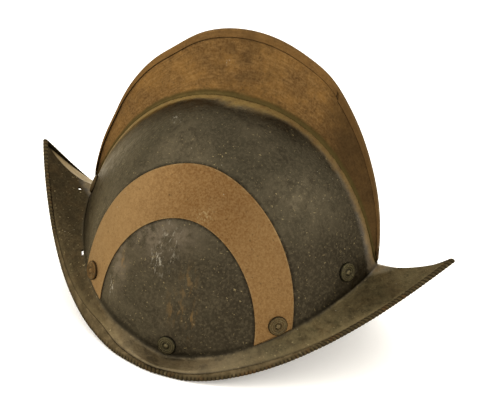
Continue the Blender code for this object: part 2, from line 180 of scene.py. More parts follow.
brim = {
    "front": {"length": 0.0588, "up": 0.0222, "bulge": 2.0, "taper": 1.15, "sweep": 2.10, "ridge": 1.70},
    "rear": {"length": 0.0498, "up": 0.0281, "bulge": 1.60, "taper": 0.93, "sweep": 3.00, "ridge": 2.00},
    "sideWidth": 0.0213, "sideFall": 0.0020, "levelTrim": 0.0012, "slope": 1.23, "fan": 1.25,
    "fillet": 0.0035, "dent": 0.00030, "dentSize": 0.045,
}
brim["halfWidth"] = bowl["halfWidth"] + brim["sideWidth"]
brim["sideUp"] = -bowl["sideDrop"] - brim["sideFall"]


def junctionPoint(station, inset):
    reach = bowl["halfLength"] - inset
    x = -reach * math.cos(station)
    up = junctionUp(x * bowl["halfLength"] / reach)
    point = bowlPoint(*bowlAnglesAtHeight(x, up, inset), inset)
    return Vector((x, point.y, up - inset * brim["slope"]))


def brimEdge(station):
    toFront = station > math.pi / 2
    peak = brim["front"] if toFront else brim["rear"]
    share = abs(math.cos(station)) ** brim["fan"]
    x = (bowl["halfLength"] + peak["length"]) * share * (1 if toFront else -1)
    across = max(0.0, 1 - share ** peak["bulge"]) ** peak["taper"]
    up = lerp(brim["sideUp"], peak["up"], share ** peak["sweep"])
    return Vector((x, -brim["halfWidth"] * across, max(up, brim["sideUp"] + brim["levelTrim"])))


def brimPoint(station, share, drop):
    start, end = junctionPoint(station, 0), brimEdge(station)
    peak = brim["front"] if station > math.pi / 2 else brim["rear"]
    sweep = lerp(1.0, peak["ridge"], abs(math.cos(station)))
    point = start.lerp(end, share)
    point.z = lerp(start.z, end.z, share ** sweep) - drop
    return point


def filletRise(station):
    return lerp(comb["endStep"] / 4, brim["fillet"], math.sin(station))


# ---- one half sheet: comb wall, bowl, fillet and brim, row by row from the comb's rim outwards

shell = {
    "columns": 230,
    "rows": {"hemFlat": 6, "hemFold": 8, "comb": 16, "bowl": 74, "fillet": 6, "brim": 26},
    "edgeCrowding": 1.5,                          # the brim's rows lie closer towards its edge
    "tuck": 0.0009, "tuckFrom": 0.0062, "tuckTo": 0.0046,   # step down to the roped edge
    "edgeInset": 0.0025,
}
hem = {"depthRear": 0.0052, "depthFront": 0.0072, "stepAtDeg": 126.5, "marginDeg": 4.0}
wear = {
    "hole": {"stationDeg": 9.5, "share": 0.22, "radius": 0.0014},
    "slit": {"stationDeg": 39.0, "share": 0.06, "length": 0.0050, "width": 0.0012},
}


@functools.lru_cache(maxsize=None)
def stationData(station, inset):
    root = combRootAngles(station, inset)
    corner = junctionPoint(station, inset)
    foot = bowlAnglesAtHeight(corner.x, junctionUp(corner.x) + filletRise(station), inset)
    span = brimEdge(station) - junctionPoint(station, 0)
    span.z = 0
    data = {
        "rim": combRim(station), "root": root, "rootPoint": bowlPoint(*root, inset),
        "corner": corner, "foot": foot, "footPoint": bowlPoint(*foot, inset),
        "start": filletRise(station) / span.length, "span": span.length,
        "stop": 1 - shell["edgeInset"] / span.length,
    }
    data["startPoint"] = brimPoint(station, data["start"], inset * brim["slope"])
    return data


def combPlace(station, share, inset):
    data = stationData(station, inset)
    point = data["rim"].lerp(data["rootPoint"], share)
    point.y = -(combHalfWidth(station, share) - inset)
    fade = smoothStep(0.10, 0.3, share) * smoothStep(0.0, 0.2, 1 - share) * math.sin(station)
    point.y += comb["dent"] * hammered(data["rim"].lerp(data["rootPoint"], share), bowl["dentSize"]) * fade
    return point


def bowlPlace(station, share, inset):
    data = stationData(station, inset)
    root, foot = data["root"], data["foot"]
    point = bowlPoint(lerp(root[0], foot[0], share), lerp(root[1], foot[1], share), inset)
    return point + bowlDent(point)


def filletPlace(station, share, inset):
    data = stationData(station, inset)
    corner = data["corner"]
    return data["footPoint"].lerp(corner, share).lerp(corner.lerp(data["startPoint"], share), share)


def brimPlace(station, share, inset):
    data = stationData(station, inset)
    crowded = 1 - (1 - share) ** shell["edgeCrowding"]
    outward = lerp(data["start"], data["stop"], crowded)
    point = brimPoint(station, outward, inset * brim["slope"])
    fromEdge = (1 - outward) * data["span"]
    point.z -= shell["tuck"] * smoothStep(shell["tuckFrom"], shell["tuckTo"], fromEdge)
    fade = smoothStep(0.0, 0.3, share) * smoothStep(0.003, 0.012, fromEdge) * math.sin(station)
    point.z += brim["dent"] * hammered(point, brim["dentSize"]) * fade
    return point


def hemDepth(station):
    return hem["depthFront"] if math.degrees(station) > hem["stepAtDeg"] else hem["depthRear"]


# The hem is the left sheet's rim folded over the right one: flat at first, then over the crown.
def hemFlatPlace(station, share, inset):
    rim = combRim(station)
    inward = stationData(station, 0)["rootPoint"] - rim
    inward.y = 0
    deep = hemDepth(station) * (1 - share)
    skin = sheet["wall"] - inset
    y = combHalfWidth(station, deep / inward.length) + sheet["gap"] + skin
    return rim + inward.normalized() * deep + Vector((0, y, 0))


def hemFoldPlace(station, share, inset):
    rim = combRim(station)
    inward = stationData(station, 0)["rootPoint"] - rim
    inward.y = 0
    skin = sheet["wall"] - inset
    wide = combHalfWidth(station, 0) + sheet["gap"] + skin
    narrow = combHalfWidth(station, 0) - inset
    turn = math.pi * share
    y = (wide - narrow) / 2 + (wide + narrow) / 2 * math.cos(turn)
    crown = (sheet["gap"] + skin) * math.sin(turn)
    return rim - inward.normalized() * crown + Vector((0, y, 0))


sections = [
    ("hemFlat", hemFlatPlace), ("hemFold", hemFoldPlace), ("comb", combPlace),
    ("bowl", bowlPlace), ("fillet", filletPlace), ("brim", brimPlace),
]


# A place on the sheet: row counts down from the comb's rim, and is below 0 on the hem.
def shellPlace(station, row, inset):
    rows = shell["rows"]
    row += rows["hemFlat"] + rows["hemFold"]
    for name, place in sections:
        if row <= rows[name] + 1e-6 or name == "brim":
            point = place(station, min(1.0, max(0.0, row / rows[name])), inset)
            if not name.startswith("hem"):
                point.y = min(point.y, sheet["seam"])
            return point
        row -= rows[name]


# Distances along one station's profile, in mm: from the comb's rim to each whole row.
@functools.lru_cache(maxsize=None)
def profileLengths(station):
    rows = shell["rows"]
    count = rows["comb"] + rows["bowl"] + rows["fillet"] + rows["brim"]
    points = [shellPlace(station, row, 0) for row in range(count + 1)]
    lengths = [0.0]
    for start, end in zip(points, points[1:]):
        lengths.append(lengths[-1] + (end - start).length * 1000)
    return lengths


def profileLength(station, row):
    lengths = profileLengths(station)
    if row <= 0:
        return row * 0.8
    low = min(int(row), len(lengths) - 2)
    return lerp(lengths[low], lengths[low + 1], row - low)


# ---- the embossed crescent, between two arches seen from the side

crescent = {
    "outer": {"halfLength": 0.702, "height": 0.625, "centre": 0.183},
    "inner": {"halfLength": 0.520, "height": 0.4675, "centre": 0.132},
    "relief": 0.0008, "root": 0.00065, "columns": 200,
    "edgeSteps": [0.0, 0.00012, 0.0003, 0.00055, 0.0009, 0.0014], "middleSteps": 16, "edgeRound": 0.0011,
}


# Evenly spaced spots on a line of points: the point before, the share of the way to the next, the length.
def evenSpots(points, count=None, step=None):
    lengths = [0.0]
    for start, end in zip(points, points[1:]):
        lengths.append(lengths[-1] + (end - start).length)
    count = count or round(lengths[-1] / step)
    spots, spot = [], 0
    for k in range(count + 1):
        wanted = lengths[-1] * k / count
        while spot < len(lengths) - 2 and lengths[spot + 1] < wanted:
            spot += 1
        share = (wanted - lengths[spot]) / (lengths[spot + 1] - lengths[spot])
        spots.append((spot, min(1.0, share), wanted))
    return spots


def archOutline(name, count):
    arch = crescent[name]
    half = arch["halfLength"] * bowl["halfLength"]
    centre = arch["centre"] * bowl["height"] - bowl["sideDrop"]
    dense = 600
    points = [Vector((-half, centre - 0.02 * (1 - k / 60))) for k in range(60)]
    for k in range(dense + 1):
        turn = math.pi * k / dense
        rise = arch["height"] * bowl["height"] * math.sin(turn)
        points.append(Vector((-half * math.cos(turn), centre + rise)))
    points += [Vector((half, centre - 0.02 * k / 60)) for k in range(1, 61)]
    points = [p for p in points if p.y > junctionUp(p.x) + 0.0006]
    return [points[spot].lerp(points[spot + 1], share) for spot, share, _ in evenSpots(points, count)]


# Distance outside one arch, seen from the side: below 0 inside it.
def archDistance(name, x, up):
    arch = crescent[name]
    half = arch["halfLength"] * bowl["halfLength"]
    centre = arch["centre"] * bowl["height"] - bowl["sideDrop"]
    if up < centre:
        return abs(x) - half
    height = arch["height"] * bowl["height"]
    across, rise = x / half, (up - centre) / height
    steep = 2 * math.hypot(across / half, rise / height)
    return (across ** 2 + rise ** 2 - 1) / steep if steep > 1e-6 else -half


def bandDistance(point):
    outside = archDistance("outer", point.x, point.z)
    inside = -archDistance("inner", point.x, point.z)
    return max(outside, inside) * 1000


# ---- making the pieces

# Soft marks on the sides, seen from the side: x and height of the middle, reach along x and height.
marks = {
    "right": {
        "scuff": [
            (-0.014, 0.014, 0.0045, 0.015), (-0.018, 0.000, 0.003, 0.008), (-0.054, -0.029, 0.0018, 0.009),
            (-0.041, 0.091, 0.004, 0.002), (0.010, 0.042, 0.007, 0.005), (-0.017, 0.131, 0.005, 0.0013),
        ],
        "streak": [
            (0.011, -0.012, 0.004, 0.014), (0.016, -0.036, 0.003, 0.012), (0.003, -0.030, 0.005, 0.010),
            (-0.046, -0.008, 0.003, 0.006),
        ],
        "rubbed": [
            (-0.026, 0.018, 0.018, 0.014), (-0.008, 0.024, 0.016, 0.009), (-0.050, -0.012, 0.008, 0.018),
        ],
    },
    "left": {
        "scuff": [(0.020, 0.010, 0.005, 0.014), (-0.030, -0.015, 0.003, 0.010), (0.050, 0.085, 0.006, 0.004)],
        "streak": [
            (-0.012, -0.020, 0.005, 0.016), (0.048, 0.030, 0.010, 0.012), (-0.015, 0.125, 0.020, 0.014),
        ],
        "rubbed": [(0.022, 0.016, 0.018, 0.014), (0.046, -0.010, 0.009, 0.016)],
    },
}


def markStrength(side, kind, point):
    strength = 0.0
    for x, up, reachX, reachUp in marks[side][kind]:
        away = ((point.x - x) / reachX) ** 2 + ((point.z - up) / reachUp) ** 2
        strength = max(strength, math.exp(-away))
    return strength


def wornDown(stationDeg):
    for (start, first), (end, second) in zip(paint["wornDown"], paint["wornDown"][1:]):
        if stationDeg <= end + 1e-6:
            return lerp(first, second, smoothStep(start, end, stationDeg))


def finishPiece(name, mesh, side, material):
    if side == "left":
        bmesh.ops.scale(mesh, vec=(1, -1, 1), verts=mesh.verts)
    bmesh.ops.translate(mesh, vec=combCentre, verts=mesh.verts)
    bmesh.ops.recalc_face_normals(mesh, faces=mesh.faces)
    data = bpy.data.meshes.new(name)
    mesh.to_mesh(data)
    mesh.free()
    data.shade_smooth()
    data.materials.append(material)
    piece = bpy.data.objects.new(name, data)
    bpy.context.scene.collection.objects.link(piece)
    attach(piece, "root")
    print("made", name, len(data.polygons), "faces")
    return piece


def flatGrid(columns, rows):
    mesh = bmesh.new()
    bmesh.ops.create_grid(mesh, x_segments=columns, y_segments=rows, size=0.5)
    bmesh.ops.translate(mesh, vec=(0.5, 0.5, 0), verts=mesh.verts)
    return mesh


# Opens a worn hole in the flat grid. reach(point) is below 0 in the hole and in metres outside it.
def openHole(mesh, placeOf, reach):
    near = [vert for vert in mesh.verts if reach(placeOf(vert.co.x, vert.co.y)) < 0.003]
    edges = {edge for vert in near for edge in vert.link_edges if all(end in near for end in edge.verts)}
    bmesh.ops.subdivide_edges(mesh, edges=list(edges), cuts=3, use_grid_fill=True)
    inside = []
    for face in mesh.faces:
        middle = face.calc_center_median()
        if reach(placeOf(middle.x, middle.y)) < 0:
            inside.append(face)
    bmesh.ops.delete(mesh, geom=inside, context="FACES")


def makeShell(side, material):
    rows = shell["rows"]
    hemRows = rows["hemFlat"] + rows["hemFold"] if side == "left" else 0
    count = hemRows + rows["comb"] + rows["bowl"] + rows["fillet"] + rows["brim"]
    mesh = flatGrid(shell["columns"], count)

    def placeOf(across, down, inset=0.0):
        return shellPlace(round(math.pi * across, 7), round(count * down - hemRows, 5), inset)

    if side == "left":
        margin = hem["marginDeg"] / 180
        notchAt = hem["stepAtDeg"] / 180
        spare = []
        for face in mesh.faces:
            middle = face.calc_center_median()
            row = count * middle.y
            beyond = middle.x < margin or middle.x > 1 - margin
            notched = abs(middle.x - notchAt) < 0.6 / shell["columns"] and row < rows["hemFlat"] - 1
            if row < hemRows and (beyond or notched):
                spare.append(face)
        bmesh.ops.delete(mesh, geom=spare, context="FACES")
    else:
        hole, slit = wear["hole"], wear["slit"]
        holeAt = brimPoint(math.radians(hole["stationDeg"]), hole["share"], 0)
        openHole(mesh, placeOf, lambda point: (point - holeAt).length - hole["radius"])
        slitAt = brimPoint(math.radians(slit["stationDeg"]), slit["share"], 0)
        nextAt = junctionPoint(math.radians(slit["stationDeg"]) + 0.001, 0)
        along = nextAt - junctionPoint(math.radians(slit["stationDeg"]), 0)
        along.z = 0
        along.normalize()
        sideways = Vector((-along.y, along.x, 0))

        def slitReach(point):
            away = point - slitAt
            return max(
                abs(away.dot(along)) - slit["length"] / 2, abs(away.dot(sideways)) - slit["width"] / 2,
                abs(away.z) - 0.004,
            )

        openHole(mesh, placeOf, slitReach)

    bmesh.ops.solidify(mesh, geom=mesh.faces[:], thickness=0.01)
    names = [
        "rimMm", "rootMm", "paintMm", "footMm", "edgeMm", "bandMm", "inside", "scuff", "streak", "rubbed",
        "alongMm", "hemMm",
    ]
    layer = {name: mesh.verts.layers.float.new(name) for name in names}
    rootRow, footRow = rows["comb"], rows["comb"] + rows["bowl"] + rows["fillet"] / 2
    for vert in mesh.verts:
        across, down = vert.co.x, vert.co.y
        inner = abs(vert.co.z) > 0.005
        station, row = round(math.pi * across, 7), round(count * down - hemRows, 5)
        vert.co = shellPlace(station, row, sheet["wall"] if inner else 0.0)
        length = profileLength(station, row)
        vert[layer["rimMm"]] = length
        vert[layer["hemMm"]] = length - hemDepth(station) * 1000 if side == "right" else 100
        vert[layer["rootMm"]] = length - profileLength(station, rootRow)
        vert[layer["paintMm"]] = length - profileLength(station, rootRow) - wornDown(math.degrees(station))
        vert[layer["footMm"]] = profileLength(station, footRow) - length
        vert[layer["edgeMm"]] = profileLengths(station)[-1] - length + shell["edgeInset"] * 1000
        vert[layer["bandMm"]] = bandDistance(vert.co)
        vert[layer["inside"]] = 1.0 if inner else 0.0
        vert[layer["scuff"]] = markStrength(side, "scuff", vert.co)
        vert[layer["streak"]] = markStrength(side, "streak", vert.co)
        vert[layer["rubbed"]] = markStrength(side, "rubbed", vert.co)
        vert[layer["alongMm"]] = station * bowl["halfLength"] * 1000
    bmesh.ops.remove_doubles(mesh, verts=mesh.verts, dist=0.00002)
    piece = finishPiece(f"sheet_{side}", mesh, side, material)
    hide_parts(f"half_shell_{side}")
    return piece


def makeCrescent(side, material):
    steps = crescent["edgeSteps"]
    count = 2 * (len(steps) - 1) + crescent["middleSteps"]
    outer = archOutline("outer", crescent["columns"])
    inner = archOutline("inner", crescent["columns"])
    mesh = flatGrid(crescent["columns"], count)
    bmesh.ops.solidify(mesh, geom=mesh.faces[:], thickness=0.01)
    across = mesh.verts.layers.float.new("edgeMm")
    along = mesh.verts.layers.float.new("alongMm")
    scuff = mesh.verts.layers.float.new("scuff")
    for vert in mesh.verts:
        column, row = round(vert.co.x * crescent["columns"]), round(vert.co.y * count)
        low, high = inner[column], outer[column]
        width = (high - low).length
        last = len(steps) - 1
        if row <= last:
            distance = steps[row]
        elif row >= count - last:
            distance = width - steps[count - row]
        else:
            distance = lerp(steps[last], width - steps[last], (row - last) / crescent["middleSteps"])
        spot = low.lerp(high, distance / width)
        point = bowlPoint(*bowlAnglesAtHeight(spot.x, spot.y, 0), 0)
        fromEdge = min(distance, width - distance)
        slope = 1 - min(1.0, fromEdge / crescent["edgeRound"])
        height = crescent["relief"] * math.sqrt(max(0.0, 1 - slope * slope))
        if abs(vert.co.z) > 0.005:
            height = -crescent["root"]
        vert.co = point + bowlDent(point) + bowlNormal(point) * height
        vert[scuff] = markStrength(side, "scuff", point)
        vert[across] = fromEdge * 1000
        vert[along] = column / crescent["columns"] * 200
    return finishPiece(f"crescent_{side}", mesh, side, material)


# ---- the turned and roped edge of the brim

rope = {
    "width": 0.0050, "height": 0.0040, "pitch": 0.0031, "notch": 0.00060, "twist": 1.0,
    "step": 0.00075, "around": 18, "slopeFrom": 0.0012,
    # chips in the edge: station in degrees, reach and depth
    "chips": [
        (88.5, 0.0009, 0.0016), (94.0, 0.0006, 0.0010), (52.0, 0.0005, 0.0008), (131.0, 0.0005, 0.0010),
    ],
}


# The level way out to the brim's edge, and how steeply the brim rises back from it.
def brimOutward(station):
    outward = brimEdge(station) - brimPoint(station, 0.9, 0)
    fall = -outward.z
    outward.z = 0
    return outward.normalized(), max(0.0, fall / outward.length)


def edgeStations():
    dense = 2400
    angles = [math.pi * k / dense for k in range(dense + 1)]
    spots = evenSpots([brimEdge(angle) for angle in angles], step=rope["step"])
    return [(lerp(angles[spot], angles[spot + 1], share), length) for spot, share, length in spots]


def makeRope(side, material):
    stations = edgeStations()
    columns = len(stations) - 1
    mesh = flatGrid(columns, rope["around"])
    groove = mesh.verts.layers.float.new("groove")
    sloped = mesh.verts.layers.float.new("sloped")
    for vert in mesh.verts:
        station, length = stations[round(vert.co.x * columns)]
        turn = math.tau * vert.co.y
        wander = 0.35 * noise.noise(Vector((length / 0.012, 3.1, 0)))
        phase = math.tau * (length / rope["pitch"] + wander) + rope["twist"] * turn
        cut = (0.5 - 0.5 * math.cos(phase)) ** 2.2
        worn = 0.65 + 0.35 * noise.noise(Vector((length / 0.02, 7.7, 1.0)))
        outward, fall = brimOutward(station)
        lift = fall * rope["width"] / 2 * (1 - math.cos(turn)) * max(0.0, math.sin(turn))
        cut *= 1 - smoothStep(0.0, rope["slopeFrom"], lift)
        depth = rope["notch"] * cut * worn
        for atDeg, reach, deep in rope["chips"] if side == "right" else []:
            away = (station - math.radians(atDeg)) * brim["halfWidth"] / reach
            depth += deep * 0.5 * math.exp(-away * away) * max(0.0, math.cos(turn - 0.6))
        centre = brimEdge(station) - outward * (rope["width"] / 2) - Vector((0, 0, rope["height"] / 2))
        wide = rope["width"] / 2 - depth
        tall = rope["height"] / 2 - depth
        vert.co = centre + outward * (wide * math.cos(turn)) + Vector((0, 0, tall * math.sin(turn) + lift))
        vert.co.y = min(vert.co.y, sheet["seam"])
        vert[groove] = cut
        vert[sloped] = smoothStep(0.0, rope["slopeFrom"], lift)
    bmesh.ops.remove_doubles(mesh, verts=mesh.verts, dist=0.00001)
    openEnds = [edge for edge in mesh.edges if edge.is_boundary]
    bmesh.ops.holes_fill(mesh, edges=openEnds, sides=0)
    return finishPiece(f"roped_edge_{side}", mesh, side, material)


# ---- rosettes: turned washers of raised rings with a domed rivet through them

rosette = {
    "places": [
        ("rear_end", -0.930, 0.0077), ("rear", -0.626, 0.0014), ("side", 0.0, 0.0024),
        ("front", 0.626, 0.0014), ("front_end", 0.887, 0.0077),
    ],
    "radius": 0.0075, "base": 0.0008, "ring": 0.0012, "steps": 48, "sink": 0.0006,
    # profile of the rings: shares of the radius and of the ring's height
    "rings": [
        (0.36, 0.15), (0.47, 0.80), (0.56, 0.30), (0.66, 0.95), (0.76, 0.35), (0.85, 0.80), (0.94, 0.25),
    ],
    "head": 0.0016, "headRadius": 0.0020, "shank": 0.0015,
    "tailRadius": 0.0024, "tailHeight": 0.0012,
    # how far each one's wax has gone brown
    "bared": {"rear_end": 0.5, "rear": 1.0, "front": 0.35},
}


def rosetteSeat(share):
    onCrescent = crescent["inner"]["halfLength"] < abs(share) < crescent["outer"]["halfLength"]
    return crescent["relief"] if onCrescent else 0.0


def rosetteProfile(seat):
    top = sheet["gap"] + rosette["base"]
    wallIn = -sheet["wall"] - seat
    profile = [
        (0.0, wallIn - rosette["tailHeight"]),
        (rosette["tailRadius"] * 0.6, wallIn - rosette["tailHeight"] * 0.85),
        (rosette["tailRadius"], wallIn - rosette["tailHeight"] * 0.3),
        (rosette["tailRadius"], wallIn + 0.0003),
        (rosette["shank"], wallIn + 0.0003),
        (rosette["shank"], -rosette["sink"]),
        (rosette["radius"] * 0.99, -rosette["sink"]),
        (rosette["radius"], top * 0.4),
        (rosette["radius"] * 0.985, top),
    ]
    profile += [(rosette["radius"] * r, top + rosette["ring"] * h) for r, h in reversed(rosette["rings"])]
    for k in range(7):
        turn = math.pi / 2 * k / 6
        rise = 0.25 + 0.75 * math.sin(turn)
        profile.append((rosette["headRadius"] * math.cos(turn), top + rosette["head"] * rise))
    return profile


def makeRosette(side, name, share, clearance, material):
    x = share * bowl["halfLength"]
    steep = (junctionUp(x + 0.001) - junctionUp(x)) / 0.001
    up = junctionUp(x) + (rosette["radius"] + clearance) * math.hypot(1, steep)
    seat = bowlPoint(*bowlAnglesAtHeight(x, up, 0), 0)
    normal = bowlNormal(seat)
    mesh = bmesh.new()
    points = [(max(0.0, radius), height) for radius, height in rosetteProfile(rosetteSeat(share))]
    verts = [mesh.verts.new((radius, 0, height)) for radius, height in points]
    edges = [mesh.edges.new(pair) for pair in zip(verts, verts[1:])]
    bmesh.ops.spin(
        mesh, geom=verts + edges, axis=(0, 0, 1), cent=(0, 0, 0),
        steps=rosette["steps"], angle=math.tau, use_merge=True,
    )
    bmesh.ops.remove_doubles(mesh, verts=mesh.verts, dist=0.00001)
    lift = mesh.verts.layers.float.new("upMm")
    bared = mesh.verts.layers.float.new("bared")
    for vert in mesh.verts:
        vert[bared] = rosette["bared"].get(name, 0.0)
        vert[lift] = vert.co.z * 1000
    place = Matrix.Translation(seat + normal * rosetteSeat(share))
    facing = normal.to_track_quat("Z", "X").to_matrix().to_4x4()
    bmesh.ops.transform(mesh, matrix=place @ facing, verts=mesh.verts)
    piece = finishPiece(f"ringed_{name}_{side}", mesh, side, material)
    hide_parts(f"rosette_{name}_{side}")
    return piece


# ---- materials

def hexColour(text):
    channels = [int(text[k:k + 2], 16) / 255 for k in (1, 3, 5)]
    linear = [c / 12.92 if c <= 0.04045 else ((c + 0.055) / 1.055) ** 2.4 for c in channels]
    return (*linear, 1)


def addNode(tree, kind, settings=None, links=None):
    node = tree.nodes.new("ShaderNode" + kind)
    for name, value in (settings or {}).items():
        if isinstance(name, int) or name in node.inputs:
            node.inputs[name].default_value = value
        else:
            setattr(node, name, value)
    for name, source in (links or {}).items():
        tree.links.new(source, node.inputs[name])
    return node


grazingTint = "#e2dbcd"


def newMaterial(name, metallic=1.0):
    material = bpy.data.materials.new(name)
    material.use_nodes = True
    tree = material.node_tree
    place = addNode(tree, "TexCoord").outputs["Object"]
    shader = tree.nodes["Principled BSDF"]
    shader.inputs["Metallic"].default_value = metallic
    # a dull tint at grazing angles, as dirt and old wax leave it
    shader.inputs["Specular Tint"].default_value = hexColour(grazingTint)
    return material, tree, shader, place


def measure(tree, name):
    return addNode(tree, "Attribute", {"attribute_name": name}).outputs["Fac"]


# Uneven patches about that many mm across, from 0 to 1 between low and high.
def patches(tree, place, sizeMm, low, high, detail=4.0, roughness=0.6, seed=0.0):
    shifted = addNode(tree, "VectorMath", {"operation": "ADD", 1: (seed, seed * 0.7, seed * 1.3)}, {0: place})
    grain = addNode(tree, "TexNoise", {
        "Scale": 1000 / sizeMm, "Detail": detail, "Roughness": roughness,
    }, {"Vector": shifted.outputs[0]})
    ranged = addNode(tree, "MapRange", {
        "From Min": low, "From Max": high, "interpolation_type": "SMOOTHSTEP",
    }, {"Value": grain.outputs["Fac"]})
    return ranged.outputs["Result"]


def centred(tree, mask):
    return addNode(tree, "Math", {"operation": "SUBTRACT", 1: 0.5}, {0: mask}).outputs[0]


# 1 where a distance lies past "full" and 0 before "none". A fray shifts the edge by up to half that many mm.
def ramp(tree, distance, none, full, frayMm=0.0, fray=None):
    if fray is not None:
        shifted = addNode(tree, "Math", {"operation": "MULTIPLY_ADD", 1: frayMm}, {0: fray, 2: distance})
        distance = shifted.outputs[0]
    ranged = addNode(tree, "MapRange", {
        "From Min": none, "From Max": full, "interpolation_type": "SMOOTHSTEP",
    }, {"Value": distance})
    return ranged.outputs["Result"]


def times(tree, first, second):
    return addNode(tree, "Math", {"operation": "MULTIPLY"}, {0: first, 1: second}).outputs[0]


# Lays a colour over what is there, as far as the mask says.
def coat(tree, under, colour, mask, strength=1.0):
    if strength != 1.0:
        mask = addNode(tree, "Math", {"operation": "MULTIPLY", 1: strength}, {0: mask}).outputs[0]
    settings, links = {}, {"Fac": mask}
    for socket, paintOn in (("Color1", under), ("Color2", colour)):
        if isinstance(paintOn, str):
            settings[socket] = hexColour(paintOn)
        else:
            links[socket] = paintOn
    return addNode(tree, "MixRGB", settings, links).outputs["Color"]


# Lays several colours of one palette in turn, each with its mask and strength.
def coats(tree, under, palette, layers):
    for name, mask, strength in layers:
        under = coat(tree, under, palette[name], mask, strength)
    return under


# Patches, ramps and products of masks, bound to one material.
def maskMakers(tree, place):
    bind = functools.partial
    return bind(patches, tree, place), bind(ramp, tree), bind(times, tree)


# Small round flecks, one in a few cells of that many mm.
def flecks(tree, place, cellMm, radius, rarity, seed=0.0):
    shifted = addNode(tree, "VectorMath", {"operation": "ADD", 1: (seed, seed, seed)}, {0: place})
    cells = addNode(tree, "TexVoronoi", {
        "Scale": 1000 / cellMm, "Randomness": 1.0,
    }, {"Vector": shifted.outputs[0]})
    near = addNode(tree, "MapRange", {
        "From Min": radius, "From Max": radius * 0.55, "interpolation_type": "SMOOTHSTEP",
    }, {"Value": cells.outputs["Distance"]})
    chosen = addNode(tree, "SeparateColor", {}, {"Color": cells.outputs["Color"]})
    rare = addNode(tree, "Math", {"operation": "GREATER_THAN", 1: rarity}, {0: chosen.outputs["Red"]})
    return times(tree, near.outputs["Result"], rare.outputs[0])


# rough is a mask with the roughness at 0 and at 1. Each bump is a height mask with its depth in mm.
def finishMaterial(tree, shader, colour, rough, bumps):
    tree.links.new(colour, shader.inputs["Base Color"])
    mask, low, high = rough
    ranged = addNode(tree, "MapRange", {"To Min": low, "To Max": high}, {"Value": mask})
    tree.links.new(ranged.outputs["Result"], shader.inputs["Roughness"])
    normal = None
    for height, depthMm in bumps:
        links = {"Height": height}
        if normal is not None:
            links["Normal"] = normal
        normal = addNode(tree, "Bump", {"Strength": 1.0, "Distance": depthMm / 1000}, links).outputs["Normal"]
    tree.links.new(normal, shader.inputs["Normal"])


# Blackened and oil painted sheet steel: dull brown black with a soft sheen, worn through to ochre and rust
# brown steel on the comb, darker along the grooves and joints, old flecks and scratches; painted shade,
# shadow and sheen are laid in too.
paint = {
    "black": "#353024", "blackLight": "#4c4434", "blackDeepAndShade": "#28231a",
    "combOchre": "#644824", "combBrown": "#48331b", "combDark": "#2f2314", "combPale": "#84673f",
    "groove": "#3a3119", "shoulder": "#776236",
    "brimRear": "#272014", "brimSide": "#584b35", "brimFront": "#383221", "brimPaleAndSheen": "#675a3e",
    "brimRust": "#43311b",
    "fleckPale": "#9a927e", "fleckTan": "#746749", "rust": "#6a5230", "scratch": "#a8a08e",
    "rubbed": "#5b5142", "farPeakSheen": "#877452", "dirtAndShade": "#15120c",
    "insideBrown": "#382b1b", "insideDark": "#1e1811",
    # how far down from the comb the paint has worn away, by station in degrees, in mm
    "wornDown": [
        (0, 9), (30, 14), (60, 24), (75, 20), (88, 13), (96, 15), (115, 16), (135, 13), (160, 12), (180, 9),
    ],
}


